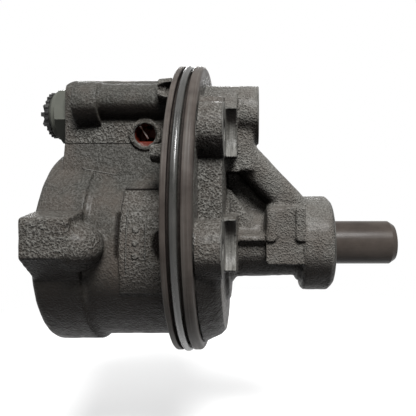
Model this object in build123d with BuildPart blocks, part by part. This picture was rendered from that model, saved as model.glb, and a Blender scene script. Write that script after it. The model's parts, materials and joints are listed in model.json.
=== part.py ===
"""Hydraulic vane pump without its reservoir, as separate solids.

The drive shaft runs along X, with its bare end to +X, and +Z is up.
The origin is on the shaft's axis, in the plane of the machined front mounting faces.
All sizes are in millimetres.
"""
from build123d import *
import os
from math import cos, radians, sin, sqrt

os.makedirs("parts", exist_ok=True)

# ---------------------------------------------------------------- fits
RUNNING = 0.04          # radial clearance of a running or sliding fit
SEATED = 0.02           # clearance between pieces seated in each other
LOOSE = 0.3             # clearance between pieces that only pass each other

# ---------------------------------------------------------------- drive shaft
SHAFT_R = 9.525          # pulley seat outside the nose
JOURNAL_R = 9.2          # bearing length inside the housing
SEAT_SETBACK = 0.5
SHAFT_END_X = 73.5
SHAFT_CHAMFER_LENGTH = 2.4
SHAFT_CHAMFER_DEPTH = 1.6
PULLER_HOLE_R = 4.0
PULLER_HOLE_DEPTH = 24.0
SPLINE_COUNT = 12
SPLINE_ROOT_R = 7.7
SPLINE_TIP_R = 8.7
SPLINE_WIDTH = 2.0

# ---------------------------------------------------------------- flange
FLANGE_Z = 16.6
FLANGE_R = 60.9
FLANGE_FRONT_X = -9.3
FLANGE_THICKNESS = 10.5
RIM_CORNER = 0.5
FRONT_RIM_ROUND = 1.6
SEAL_GROOVE_OFFSET = 2.05
SEAL_GROOVE_WIDTH = 4.8
SEAL_GROOVE_DEPTH = 2.4
FLANGE_SEAL_CORD = 2.9
FLANGE_REAR_X = FLANGE_FRONT_X - FLANGE_THICKNESS
SEAL_GROOVE_R = FLANGE_R - SEAL_GROOVE_DEPTH

# ---------------------------------------------------------------- front mounting bosses
BOLT_CIRCLE_R = 50.0
BOSS_ANGLES = (143.5, 194.0, 346.0)
BOSS_R = 10.2
MOUNT_HOLE_R = 4.0
MOUNT_HOLE_DEPTHS = (18.0, 17.2, 16.4)
SPOTFACE_R = 12.0
SPOTFACE_WALL = 4.2
APRON_ROOT_R = 13.0
SPOTFACE_DEPTH = 15.0
CAST_ROUND = 1.5

# ---------------------------------------------------------------- front section behind the mounting plane
FRONT_SETBACK = 0.6
FRONT_BASE_R = 57.9
FRONT_FACE_R = 54.9
FRONT_ROUND = 2.0
FRONT_WALL_Y = 43.0
SHOULDER_Y = 36.0
SHOULDER_Z = 59.5
SHOULDER_FOOT_Z = 52.0

# ---------------------------------------------------------------- hub and nose collar
NECK_R = 15.0
NECK_DRAFT = 0.5
HUB_BASE_R = 24.8
HUB_BASE_X = 0.9
HUB_BASE_CHAMFER = 0.8
NECK_FOOT_X = 3.4
NECK_FOOT_R = 18.2
COLLAR_R = 20.65
COLLAR_LENGTH = 13.7
NOSE_X = 45.0
NOSE_CHAMFER = 2.3
COLLAR_ROUND = 1.2
COLLAR_FILLET = 2.4
LUG_LENGTH = 16.1
LUG_FACE_Y = -19.0
LUG_TOP_Z = 17.1
LUG_BOTTOM_Z = -6.7
LUG_BAR_HEIGHT = 1.5
LUG_BAR_WIDTH = 4.0
LUG_BAR_LENGTH = 14.2
RIB_Z = 4.3
RIB_THICKNESS = 3.0
RIB_FACE_Y = -18.4
LUG_BAR_ROUND = 1.2
ARM_THICKNESS = 13.2
ARM_TOP_DROP = 2.2
ARM_TOP_RUN = 9.0
ARM_FOOT_RUN = 4.0
ARM_TOP_WIDTH = 21.0
ARM_FOOT_WIDTH = 26.0
ARM_ROUND = 4.5
GUSSET_Z = 31.5
GUSSET_LENGTH = 10.5
WEB_THICKNESS = 9.0
SWELL_Z = 24.0
SWELL_LENGTH = 13.0
SWELL_REACH = 12.5
SWELL_SINK = 7.0

# ---------------------------------------------------------------- rear body
BODY_R = 38.85
BAND_R = 40.8
REAR_X = -70.7
BAND_LENGTH = 17.9
BAND_STEP = 2.0
REAR_ROUND = 2.4
MOUTH_CHAMFER = 0.8
PUNCH_HOLE_R = 1.6
PAD_HEIGHT = 0.7
PAD_LENGTH = 18.7
PAD_TOP_Z = 24.4
PAD_BOTTOM_Z = -14.3

# ---------------------------------------------------------------- rear stud bosses
STUD_Y = 43.5
STUD_Z = 4.5
STUD_HOLE_R = 4.0
STUD_HOLE_DEPTH = 20.0
STUD_SPOTFACE_R = 6.0
STUD_FACE_Y = 52.0
STUD_FACE_TOP_Z = 15.4
STUD_FACE_BOTTOM_Z = 1.65
STUD_FOOT_TOP_Z = 17.0
STUD_FOOT_BOTTOM_Z = -8.0
STUD_REAR_SETBACK = 1.7
STUD_BLOCK_LENGTH = 17.0
STUD_SINK = 2.0
STUD_DOME_R = 8.8
STUD_DOME_TURN = 17

# ---------------------------------------------------------------- flow valve housing
VALVE_Y = -8.0
VALVE_Z = 55.9
VALVE_BORE_R = 9.5
VALVE_BORE_END_X = 8.0
VALVE_BOSS_R = 12.6
VALVE_BOSS_FRONT_X = 13.0
VALVE_SEAT_X = -64.8
BLOCK_NEAR = 15.5
BLOCK_FAR = 14.5
BLOCK_BELOW = 13.9
BLOCK_ABOVE = 13.2
BLOCK_ROUND = 7.0
BLOCK_UNDER_ROUND = 1.6
BLOCK_END_ROUND = 2.5
BLOCK_WEB_FOOT = 18.0
SENSE_TUBE_Y = -22.0
SENSE_TUBE_Z = 59.6
SENSE_TUBE_R = 7.2
SENSE_HEAD_Z = 58.6
SENSE_HEAD_R = 9.2
SENSE_HEAD_X = -59.6
SENSE_HEAD_LENGTH = 9.6
SENSE_HEAD_DRAFT = 3
INLET_X = -32.4
INLET_Z = 46.2
INLET_R = 4.3
INLET_RING_R = 6.3
INLET_RING_PROUD = 1.3
INLET_DEPTH = 9.4
INLET_DRILL_R = 2.2
INLET_DRILL_Z = 43.4
CROSS_PASSAGE_R = 3.0

# ---------------------------------------------------------------- lugs behind the flange
PLUG_LUG_Y = -30.0
PLUG_LUG_Z = 62.4
PLUG_LUG_R = 5.2
PLUG_LUG_LENGTH = 6.0
PLUG_LUG_DRAFT = 5
PLUG_HOLE_R = 2.7
PLUG_HOLE_TILT = 60.0
PLUG_DEPTH = 3.5
SMALL_LUG_Y = -41.0
SMALL_LUG_Z = 37.8
SMALL_LUG_R = 4.2
SMALL_LUG_LENGTH = 6.6
SMALL_LUG_DRAFT = 8

# ---------------------------------------------------------------- pumping group
BORE_R = 34.0
BORE_END_X = -18.0
THRUST_PLATE_T = 6.0
CAM_RING_T = 19.5
PRESSURE_PLATE_T = 9.5
SPRING_SPACE = 7.0
END_PLATE_T = 6.0
DISH_R = 21.0
DISH_DEPTH = 1.8
RING_GROOVE_T = 2.0
RING_GROOVE_DEPTH = 1.3
RING_WIDTH = 3.6
RING_GAP_ANGLE = 40.0
CAM_MAJOR_R = 25.4
CAM_MINOR_R = 23.2
ROTOR_R = 22.95
ROTOR_SIDE = 0.025
VANE_COUNT = 10
VANE_T = 1.78
VANE_HEIGHT = 8.6
VANE_TIP_R = 22.9
VANE_ROUND = 0.8
VANE_TRAVEL_IN = 1.2
SLOT_ROOT_R = 1.7
DOWEL_R = 2.38
DOWEL_CIRCLE_R = 29.2
DOWEL_SOCKET = 4.0
PORT_CIRCLE_R = 23.8
PORT_WIDTH = 4.6
PORT_SPAN = 38.0
PORT_DEPTH = 3.0
SEAL_CORD = 1.7
SEAL_GROOVE_T = 2.2
CLIP_R = 10.0
CLIP_T = 1.2
CLIP_RECESS_R = 11.2
CLIP_RECESS_DEPTH = 3.6
CLIP_GROOVE_R = 7.1
PLATE_SPRING_R = 22.0
PLATE_SPRING_WIRE = 1.9
PLATE_SPRING_TURNS = 2.0

# ---------------------------------------------------------------- shaft bearing and seal
BUSHING_R = 11.1
BUSHING_LENGTH = 24.0
BUSHING_SETBACK = 4.0
NECK_BORE_R = 10.6
SEAL_R = 15.85
SEAL_LENGTH = 6.8
SEAL_SETBACK = 0.7
SEAL_WALL = 1.0

# ---------------------------------------------------------------- outlet union and plug
UNION_AF = 22.2
UNION_HEX_LENGTH = 6.4
UNION_HEX_TURN = 14.0
UNION_COLLAR_R = 10.4
UNION_COLLAR_LENGTH = 2.9
UNION_SHANK_LENGTH = 9.0
UNION_NOSE_R = 7.0
UNION_NOSE_LENGTH = 3.8
UNION_PORT_R = 7.2
UNION_PORT_DEPTH = 12.0
UNION_FLOW_R = 3.0
UNION_UNDERCUT_R = 8.8
UNION_UNDERCUT = 2.4
UNION_SEAL_CORD = 1.8
UNION_SEAL_RECESS_R = 10.85
PLUG_HEAD_R = 9.2
PLUG_HEAD_T = 1.5
PLUG_RIBS = 24
PLUG_STAR_R = 5.0
PLUG_STAR_LENGTH = 3.5
PLUG_PRONGS = 6
PLUG_PRONG_WIDTH = 1.7
PLUG_INSERT = 8.0

# ---------------------------------------------------------------- flow control valve
SPOOL_TRAVEL = 8.0
SPOOL_START_GAP = 0.1
SPOOL_LAND_LENGTH = 13.0
SPOOL_LAND_GROOVES = 3
SPOOL_GROOVE_T = 0.8
SPOOL_GROOVE_DEPTH = 0.5
SPOOL_STEM_R = 6.0
SPOOL_STEM_LENGTH = 13.0
SPOOL_HOLLOW_R = 4.6
SPOOL_HOLLOW_DEPTH = 17.0
RELIEF_SEAT_R = 1.6
RELIEF_BALL_R = 2.4
RELIEF_TRAVEL = 1.0
RELIEF_GUIDE_T = 1.6
RELIEF_STEM_R = 1.4
RELIEF_STEM_LENGTH = 4.0
RELIEF_SPRING_WIRE = 0.8
RELIEF_SPRING_R = 3.0
RELIEF_SPRING_TURNS = 4.0
RELIEF_PLUG_T = 3.0
RELIEF_PLUG_HOLE_R = 1.2
CONTROL_SPRING_WIRE = 1.3
CONTROL_SPRING_TURNS = 8.0

# ---------------------------------------------------------------- stations along the shaft
THRUST_REAR_X = BORE_END_X - THRUST_PLATE_T
CAM_REAR_X = THRUST_REAR_X - CAM_RING_T
PLATE_REAR_X = CAM_REAR_X - PRESSURE_PLATE_T
END_FRONT_X = PLATE_REAR_X - SPRING_SPACE
END_REAR_X = END_FRONT_X - END_PLATE_T
ROTOR_FRONT_X = THRUST_REAR_X - ROTOR_SIDE
ROTOR_REAR_X = CAM_REAR_X + ROTOR_SIDE
BAND_FRONT_X = REAR_X + BAND_LENGTH
COLLAR_REAR_X = NOSE_X - COLLAR_LENGTH
BUSHING_FRONT_X = BORE_END_X + BUSHING_SETBACK + BUSHING_LENGTH
SEAL_BORE_X = NOSE_X - SEAL_SETBACK - SEAL_LENGTH
UNION_REAR_X = VALVE_SEAT_X - UNION_HEX_LENGTH - UNION_COLLAR_LENGTH
UNION_INNER_X = VALVE_SEAT_X + UNION_SHANK_LENGTH + UNION_NOSE_LENGTH
SPOOL_REAR_X = UNION_INNER_X + SPOOL_START_GAP
SPOOL_SHOULDER_X = SPOOL_REAR_X + SPOOL_LAND_LENGTH
SPOOL_FRONT_X = SPOOL_SHOULDER_X + SPOOL_STEM_LENGTH
BOSS_CENTRES = [
    (BOLT_CIRCLE_R * cos(radians(a)), FLANGE_Z + BOLT_CIRCLE_R * sin(radians(a)))
    for a in BOSS_ANGLES
]
FLANGE_AXIS = Axis((0, 0, FLANGE_Z), (1, 0, 0))
VALVE_AXIS = Axis((0, VALVE_Y, VALVE_Z), (1, 0, 0))


def station(x):
    """Plane square to the shaft at x, with sketch axes along Y and Z."""
    return Plane.YZ.offset(x)


def finish(part, name):
    """Label a finished piece and write it to its own file."""
    part.label = name
    export_step(part, f"parts/{name}.step")


# ================================================================ housing casting
with BuildPart() as housing:
    # front section, drafted all round, that carries the bosses
    with BuildSketch(station(FLANGE_FRONT_X)) as front_outline:
        with BuildLine():
            Polyline(
                (-FRONT_WALL_Y, BOSS_CENTRES[1][1]),
                (-FRONT_WALL_Y, SHOULDER_FOOT_Z),
                (-SHOULDER_Y, SHOULDER_Z),
                (VALVE_Y - VALVE_BOSS_R / 2, VALVE_Z + VALVE_BOSS_R / 2),
                (VALVE_Y + VALVE_BOSS_R, VALVE_Z + VALVE_BOSS_R / 2),
                (FRONT_WALL_Y, BOSS_CENTRES[0][1] - BOSS_R),
                (FRONT_WALL_Y, BOSS_CENTRES[2][1]),
                (FLANGE_R, BOSS_CENTRES[2][1]),
                (FLANGE_R, FLANGE_Z - FLANGE_R),
                (-FLANGE_R, FLANGE_Z - FLANGE_R),
                (-FLANGE_R, BOSS_CENTRES[1][1]),
                close=True,
            )
        make_face()
    extrude(amount=-FLANGE_FRONT_X - FRONT_SETBACK)
    with BuildSketch(Plane.XZ.shift_origin((0, 0, FLANGE_Z))):
        with BuildLine():
            Polyline(
                (FLANGE_FRONT_X, 0),
                (FLANGE_FRONT_X, FRONT_BASE_R),
                (-FRONT_SETBACK - FRONT_ROUND, FRONT_FACE_R),
                (-FRONT_SETBACK, FRONT_FACE_R - FRONT_ROUND),
                (-FRONT_SETBACK, 0),
                close=True,
            )
        make_face()
    revolve(axis=FLANGE_AXIS, mode=Mode.INTERSECT)

    # flange with its seal groove
    with BuildSketch(Plane.XZ.shift_origin((0, 0, FLANGE_Z))):
        groove_rear = FLANGE_REAR_X + SEAL_GROOVE_OFFSET
        groove_front = groove_rear + SEAL_GROOVE_WIDTH
        with BuildLine():
            Polyline(
                (FLANGE_REAR_X, 0),
                (FLANGE_REAR_X, FLANGE_R - RIM_CORNER),
                (FLANGE_REAR_X + RIM_CORNER, FLANGE_R),
                (groove_rear, FLANGE_R),
                (groove_rear, SEAL_GROOVE_R),
                (groove_front, SEAL_GROOVE_R),
                (groove_front, FLANGE_R),
                (FLANGE_FRONT_X - FRONT_RIM_ROUND, FLANGE_R),
            )
            RadiusArc(
                (FLANGE_FRONT_X - FRONT_RIM_ROUND, FLANGE_R),
                (FLANGE_FRONT_X, FLANGE_R - FRONT_RIM_ROUND),
                FRONT_RIM_ROUND,
            )
            Polyline(
                (FLANGE_FRONT_X, FLANGE_R - FRONT_RIM_ROUND),
                (FLANGE_FRONT_X, 0),
                (FLANGE_REAR_X, 0),
            )
        make_face()
    revolve(axis=FLANGE_AXIS)

    # mounting bosses that end in the mounting plane
    with BuildSketch(station(FLANGE_FRONT_X)):
        with Locations(*BOSS_CENTRES):
            Circle(BOSS_R)
    extrude(amount=-FLANGE_FRONT_X)

    # apron lobes that the spotface cutters run into
    with BuildSketch(station(FLANGE_FRONT_X)):
        with Locations((VALVE_Y, VALVE_Z)):
            Circle(VALVE_BOSS_R)
        with Locations((BOSS_CENTRES[0][0] + SPOTFACE_R, BOSS_CENTRES[0][1])):
            Circle(BOSS_R)
        make_hull()
    extrude(amount=SPOTFACE_WALL - FLANGE_FRONT_X)
    for low_boss, side in ((BOSS_CENTRES[1], 1), (BOSS_CENTRES[2], -1)):
        with BuildSketch(station(FLANGE_FRONT_X)):
            Circle(APRON_ROOT_R)
            with Locations((low_boss[0] + side * SPOTFACE_R, low_boss[1])):
                Circle(BOSS_R)
            make_hull()
        extrude(amount=SPOTFACE_WALL - FLANGE_FRONT_X)

    # hub, neck and nose collar
    with BuildSketch(Plane.XZ):
        with BuildLine():
            neck_end = (COLLAR_REAR_X - COLLAR_FILLET, NECK_R - NECK_DRAFT)
            collar_foot = (COLLAR_REAR_X, NECK_R - NECK_DRAFT + COLLAR_FILLET)
            Polyline(
                (FLANGE_FRONT_X, 0),
                (FLANGE_FRONT_X, HUB_BASE_R),
                (HUB_BASE_X - HUB_BASE_CHAMFER, HUB_BASE_R),
                (HUB_BASE_X, HUB_BASE_R - HUB_BASE_CHAMFER),
                (HUB_BASE_X, NECK_FOOT_R),
                (NECK_FOOT_X, NECK_R),
                neck_end,
            )
            RadiusArc(neck_end, collar_foot, COLLAR_FILLET)
            Polyline(
                collar_foot,
                (COLLAR_REAR_X, COLLAR_R - COLLAR_ROUND),
                (COLLAR_REAR_X + COLLAR_ROUND, COLLAR_R),
                (NOSE_X - NOSE_CHAMFER, COLLAR_R),
                (NOSE_X, COLLAR_R - NOSE_CHAMFER),
                (NOSE_X, 0),
                (FLANGE_FRONT_X, 0),
            )
        make_face()
    revolve(axis=Axis.X)

    # boss round the front end of the valve bore
    with BuildSketch(station(FLANGE_FRONT_X)):
        with Locations((VALVE_Y, VALVE_Z)):
            Circle(VALVE_BOSS_R)
    extrude(amount=VALVE_BOSS_FRONT_X - FLANGE_FRONT_X)

    # diagonal arm whose upper side runs from the valve boss to the collar's rear corner
    arm_upper = Vector(VALVE_BOSS_FRONT_X, 0, VALVE_Z - VALVE_BOSS_R - ARM_TOP_DROP)
    arm_lower = Vector(COLLAR_REAR_X + COLLAR_ROUND, 0, COLLAR_R)
    arm_slope = (arm_lower - arm_upper).normalized()
    arm_inward = Vector(arm_slope.Z, 0, -arm_slope.X) * (ARM_THICKNESS / 2)
    arm_top = arm_upper + arm_inward - arm_slope * ARM_TOP_RUN + Vector(0, VALVE_Y, 0)
    arm_foot = arm_lower + arm_inward + arm_slope * ARM_FOOT_RUN
    with BuildSketch(Plane(origin=arm_top, x_dir=(0, 1, 0), z_dir=arm_slope)):
        RectangleRounded(ARM_TOP_WIDTH, ARM_THICKNESS, ARM_ROUND)
    with BuildSketch(Plane(origin=arm_foot, x_dir=(0, 1, 0), z_dir=arm_slope)):
        RectangleRounded(ARM_FOOT_WIDTH, ARM_THICKNESS, ARM_ROUND)
    loft()

    # gusset between arm and bosses, and the thinner web that closes the pocket below it
    with BuildSketch(Plane.XZ.offset(ARM_TOP_WIDTH / 2 - VALVE_Y)):
        with BuildLine():
            Polyline(
                (FLANGE_FRONT_X, GUSSET_Z),
                (GUSSET_LENGTH, GUSSET_Z),
                (VALVE_BOSS_FRONT_X - ARM_TOP_DROP, VALVE_Z - VALVE_BOSS_R / 2),
                (FLANGE_FRONT_X, VALVE_Z - VALVE_BOSS_R / 2),
                close=True,
            )
        make_face()
    extrude(amount=-ARM_TOP_WIDTH)
    with BuildSketch(Plane.XZ.offset(-WEB_THICKNESS / 2)):
        with BuildLine():
            Polyline(
                (FLANGE_FRONT_X, 0),
                (FLANGE_FRONT_X, GUSSET_Z),
                (GUSSET_LENGTH, GUSSET_Z),
                (COLLAR_REAR_X, NECK_R),
                (COLLAR_REAR_X, 0),
                close=True,
            )
        make_face()
    extrude(amount=WEB_THICKNESS)
    with BuildSketch(Plane.XZ.offset(SWELL_REACH)):
        with BuildLine():
            Polyline(
                (FLANGE_FRONT_X, 0),
                (FLANGE_FRONT_X, SWELL_Z),
                (HUB_BASE_X, SWELL_Z),
                (SWELL_LENGTH, NECK_R - SWELL_SINK),
                (SWELL_LENGTH, 0),
                close=True,
            )
        make_face()
    extrude(amount=-SWELL_REACH)

    # rib and lug on the near side of the hub
    with BuildSketch(Plane.XZ.offset(-RIB_FACE_Y)):
        with Locations((LUG_LENGTH / 2, RIB_Z)):
            Rectangle(LUG_LENGTH + CAST_ROUND, RIB_THICKNESS)
    extrude(amount=RIB_FACE_Y)
    lug_x = COLLAR_REAR_X + (CAST_ROUND - LUG_LENGTH) / 2
    with BuildSketch(Plane.XZ.offset(-LUG_FACE_Y)):
        with Locations((lug_x, (LUG_TOP_Z + LUG_BOTTOM_Z) / 2)):
            RectangleRounded(LUG_LENGTH, LUG_TOP_Z - LUG_BOTTOM_Z, CAST_ROUND)
    extrude(amount=LUG_FACE_Y)
    bar_reach = (LUG_LENGTH - LUG_BAR_WIDTH) / 2
    with BuildSketch(Plane.XZ.offset(-LUG_FACE_Y - CAST_ROUND)):
        with Locations((lug_x, LUG_TOP_Z - LUG_BAR_LENGTH / 2)):
            with Locations((-bar_reach, 0), (bar_reach, 0)):
                RectangleRounded(LUG_BAR_WIDTH, LUG_BAR_LENGTH, LUG_BAR_ROUND)
    extrude(amount=LUG_BAR_HEIGHT + CAST_ROUND)

    # rear body with its thicker rear band
    with BuildSketch(Plane.XZ):
        with BuildLine():
            Polyline(
                (FLANGE_REAR_X, 0),
                (FLANGE_REAR_X, BODY_R),
                (BAND_FRONT_X + BAND_STEP, BODY_R),
                (BAND_FRONT_X, BAND_R),
                (REAR_X + REAR_ROUND, BAND_R),
            )
            RadiusArc((REAR_X + REAR_ROUND, BAND_R), (REAR_X, BAND_R - REAR_ROUND), -REAR_ROUND)
            Polyline((REAR_X, BAND_R - REAR_ROUND), (REAR_X, 0), (FLANGE_REAR_X, 0))
        make_face()
    revolve(axis=Axis.X)
    with BuildSketch(station(FLANGE_REAR_X)):
        Circle(BODY_R + PAD_HEIGHT)
        with Locations((-BAND_R, (PAD_TOP_Z + PAD_BOTTOM_Z) / 2)):
            Rectangle(BAND_R, PAD_TOP_Z - PAD_BOTTOM_Z, mode=Mode.INTERSECT)
    extrude(amount=-PAD_LENGTH)

    # valve housing block, rounded on top, and the tapered web that carries it on the body
    block_width = BLOCK_NEAR + BLOCK_FAR
    block_y = VALVE_Y + (BLOCK_FAR - BLOCK_NEAR) / 2
    block_under_z = VALVE_Z - BLOCK_BELOW
    with BuildSketch(station(VALVE_SEAT_X)) as block_outline:
        with Locations((block_y, VALVE_Z + (BLOCK_ABOVE - BLOCK_BELOW) / 2)):
            Rectangle(block_width, BLOCK_ABOVE + BLOCK_BELOW)
        fillet(block_outline.vertices().group_by(Axis.Y)[-1], radius=BLOCK_ROUND)
        fillet(block_outline.vertices().group_by(Axis.Y)[0], radius=BLOCK_UNDER_ROUND)
    extrude(amount=FLANGE_REAR_X - VALVE_SEAT_X)
    with BuildSketch(Plane.XZ.offset(-block_y)):
        with BuildLine():
            Polyline(
                (VALVE_SEAT_X, VALVE_Z + BLOCK_ABOVE),
                (VALVE_SEAT_X, VALVE_Z + BLOCK_ABOVE - BLOCK_END_ROUND),
                (VALVE_SEAT_X + BLOCK_END_ROUND, VALVE_Z + BLOCK_ABOVE),
                close=True,
            )
        make_face()
    extrude(amount=block_width, both=True, mode=Mode.SUBTRACT)
    with BuildSketch(station(VALVE_SEAT_X)):
        with BuildLine():
            Polyline(
                (block_y - block_width / 2 + BLOCK_UNDER_ROUND, block_under_z + BLOCK_UNDER_ROUND),
                (block_y + block_width / 2 - BLOCK_UNDER_ROUND, block_under_z + BLOCK_UNDER_ROUND),
                (block_y + BLOCK_WEB_FOOT / 2, BODY_R - BLOCK_UNDER_ROUND),
                (block_y - BLOCK_WEB_FOOT / 2, BODY_R - BLOCK_UNDER_ROUND),
                close=True,
            )
        make_face()
    extrude(amount=FLANGE_REAR_X - VALVE_SEAT_X)

    # drilled passage's tube along the block, with its thicker end
    with BuildSketch(station(SENSE_HEAD_X + SENSE_HEAD_LENGTH)):
        with Locations((SENSE_TUBE_Y, SENSE_TUBE_Z)):
            Circle(SENSE_TUBE_R)
    extrude(amount=FLANGE_REAR_X - SENSE_HEAD_X - SENSE_HEAD_LENGTH)
    with BuildSketch(station(SENSE_HEAD_X)):
        with Locations((SENSE_TUBE_Y, SENSE_HEAD_Z)):
            Circle(SENSE_HEAD_R)
    extrude(amount=SENSE_HEAD_LENGTH, taper=SENSE_HEAD_DRAFT)

    # ring round the inlet port
    inlet_face_y = VALVE_Y - BLOCK_NEAR - INLET_RING_PROUD
    with BuildSketch(Plane.XZ.offset(-inlet_face_y)):
        with Locations((INLET_X, INLET_Z)):
            Circle(INLET_RING_R)
    extrude(amount=inlet_face_y - VALVE_Y)

    # rear stud bosses on both sides, each with a domed end over its blind hole
    stud_rear_x = REAR_X + STUD_REAR_SETBACK
    for side in (-1, 1):
        with BuildSketch(station(stud_rear_x)) as stud_outline:
            with BuildLine():
                Polyline(
                    (side * STUD_FACE_Y, STUD_FACE_TOP_Z),
                    (side * STUD_FACE_Y, STUD_FACE_BOTTOM_Z),
                    (side * (BODY_R + CAST_ROUND), STUD_FOOT_BOTTOM_Z),
                    (side * (BODY_R - STUD_SINK), STUD_FOOT_BOTTOM_Z),
                    (side * (BODY_R - STUD_SINK), STUD_FOOT_TOP_Z),
                    (side * BODY_R, STUD_FOOT_TOP_Z),
                    close=True,
                )
            make_face()
            fillet(stud_outline.vertices().sort_by(Axis.X, reverse=side > 0)[:2], radius=CAST_ROUND)
        extrude(amount=STUD_BLOCK_LENGTH)
        with Locations((stud_rear_x + STUD_BLOCK_LENGTH, side * STUD_Y, STUD_Z)):
            Sphere(STUD_DOME_R, rotation=(90, side * STUD_DOME_TURN, 0))

    # lugs behind the flange, the upper one drilled at a slant into the sensing passage
    with BuildSketch(station(FLANGE_REAR_X)):
        with Locations((PLUG_LUG_Y, PLUG_LUG_Z)):
            Circle(PLUG_LUG_R)
    extrude(amount=-PLUG_LUG_LENGTH, taper=PLUG_LUG_DRAFT)
    with BuildSketch(station(FLANGE_REAR_X)):
        with Locations((SMALL_LUG_Y, SMALL_LUG_Z)):
            Circle(SMALL_LUG_R)
    extrude(amount=-SMALL_LUG_LENGTH, taper=SMALL_LUG_DRAFT)

    # spotfaces and tapped holes of the front mounting bosses
    with BuildSketch(station(0)):
        with Locations(*BOSS_CENTRES):
            Circle(SPOTFACE_R)
    extrude(amount=SPOTFACE_DEPTH, mode=Mode.SUBTRACT)
    for centre, depth in zip(BOSS_CENTRES, MOUNT_HOLE_DEPTHS):
        with BuildSketch(station(0)):
            with Locations(centre):
                Circle(MOUNT_HOLE_R)
        extrude(amount=-depth, mode=Mode.SUBTRACT)

    # stepped bore for shaft, bushing and shaft seal
    with BuildSketch(station(BORE_END_X)):
        Circle(NECK_BORE_R)
    extrude(amount=NOSE_X - BORE_END_X, mode=Mode.SUBTRACT)
    with BuildSketch(station(BORE_END_X)):
        Circle(BUSHING_R + SEATED)
    extrude(amount=BUSHING_FRONT_X - BORE_END_X, mode=Mode.SUBTRACT)
    with BuildSketch(station(SEAL_BORE_X)):
        Circle(SEAL_R + SEATED)
    extrude(amount=NOSE_X - SEAL_BORE_X, mode=Mode.SUBTRACT)

    # pump bore with seal grooves, retaining ring groove and dowel sockets
    with BuildSketch(station(REAR_X)):
        Circle(BORE_R)
    extrude(amount=BORE_END_X - REAR_X, mode=Mode.SUBTRACT)
    with BuildSketch(station(END_REAR_X)):
        Circle(BORE_R + RING_GROOVE_DEPTH)
    extrude(amount=-RING_GROOVE_T, mode=Mode.SUBTRACT)
    for groove_x in (
        END_REAR_X + (END_PLATE_T - SEAL_GROOVE_T) / 2,
        PLATE_REAR_X + (PRESSURE_PLATE_T - SEAL_GROOVE_T) / 2,
    ):
        with BuildSketch(station(groove_x)):
            Circle(BORE_R + SEAL_CORD + SEATED)
        extrude(amount=SEAL_GROOVE_T, mode=Mode.SUBTRACT)
    with BuildSketch(station(BORE_END_X)):
        with PolarLocations(DOWEL_CIRCLE_R, 2, start_angle=90):
            Circle(DOWEL_R + SEATED)
    extrude(amount=DOWEL_SOCKET, mode=Mode.SUBTRACT)
    with BuildSketch(Plane.XY):
        with Locations((END_REAR_X - RING_GROOVE_T / 2, 0)):
            Circle(PUNCH_HOLE_R)
    extrude(amount=-BAND_R - 1, mode=Mode.SUBTRACT)

    # valve bore with the union's seal recess, and the passages that meet it
    with BuildSketch(station(VALVE_SEAT_X)):
        with Locations((VALVE_Y, VALVE_Z)):
            Circle(VALVE_BORE_R)
    extrude(amount=VALVE_BORE_END_X - VALVE_SEAT_X, mode=Mode.SUBTRACT)
    with BuildSketch(station(VALVE_SEAT_X)):
        with Locations((VALVE_Y, VALVE_Z)):
            Circle(UNION_SEAL_RECESS_R)
    extrude(amount=UNION_UNDERCUT, mode=Mode.SUBTRACT)
    with BuildSketch(Plane.XZ.offset(-inlet_face_y)):
        with Locations((INLET_X, INLET_Z)):
            Circle(INLET_R)
    extrude(amount=-INLET_DEPTH, mode=Mode.SUBTRACT)
    with BuildSketch(Plane.XZ.offset(-inlet_face_y)):
        with Locations((INLET_X, INLET_DRILL_Z)):
            Circle(INLET_DRILL_R)
    extrude(amount=inlet_face_y - VALVE_Y, mode=Mode.SUBTRACT)
    for passage_x in (PLATE_REAR_X - CROSS_PASSAGE_R - 0.5, SPOOL_SHOULDER_X + 2 * CROSS_PASSAGE_R):
        with BuildSketch(Plane.XY.offset(VALVE_Z)):
            with Locations((passage_x, VALVE_Y)):
                Circle(CROSS_PASSAGE_R)
        extrude(amount=BORE_R - VALVE_BORE_R - VALVE_Z, mode=Mode.SUBTRACT)

    # rear stud holes, spotfaced clear of the band
    with BuildSketch(station(stud_rear_x)):
        with Locations((-STUD_Y, STUD_Z), (STUD_Y, STUD_Z)):
            Circle(STUD_SPOTFACE_R)
    extrude(amount=REAR_X - stud_rear_x, mode=Mode.SUBTRACT)
    with BuildSketch(station(stud_rear_x)):
        with Locations((-STUD_Y, STUD_Z), (STUD_Y, STUD_Z)):
            Circle(STUD_HOLE_R)
    extrude(amount=STUD_HOLE_DEPTH, mode=Mode.SUBTRACT)

    # slanted blind hole in the upper lug
    slant = Plane(
        origin=(FLANGE_REAR_X - PLUG_LUG_LENGTH / 2, PLUG_LUG_Y - PLUG_LUG_R, PLUG_LUG_Z),
        x_dir=(0, 0, 1),
        z_dir=(-sin(radians(PLUG_HOLE_TILT)), -cos(radians(PLUG_HOLE_TILT)), 0),
    )
    with BuildSketch(slant):
        Circle(PLUG_HOLE_R)
    extrude(amount=-PLUG_DEPTH, mode=Mode.SUBTRACT)
    with BuildSketch(slant):
        Circle(PLUG_HOLE_R)
    extrude(amount=PLUG_LUG_R, mode=Mode.SUBTRACT)
finish(housing.part, "housing")

# ================================================================ seals between castings
with BuildPart() as flange_seal:
    with BuildSketch(Plane.XZ.shift_origin((0, 0, FLANGE_Z))):
        with Locations((groove_rear + SEAL_GROOVE_WIDTH / 2, SEAL_GROOVE_R + SEATED + FLANGE_SEAL_CORD / 2)):
            Circle(FLANGE_SEAL_CORD / 2)
    revolve(axis=FLANGE_AXIS)
finish(flange_seal.part, "flange_seal")

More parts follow.
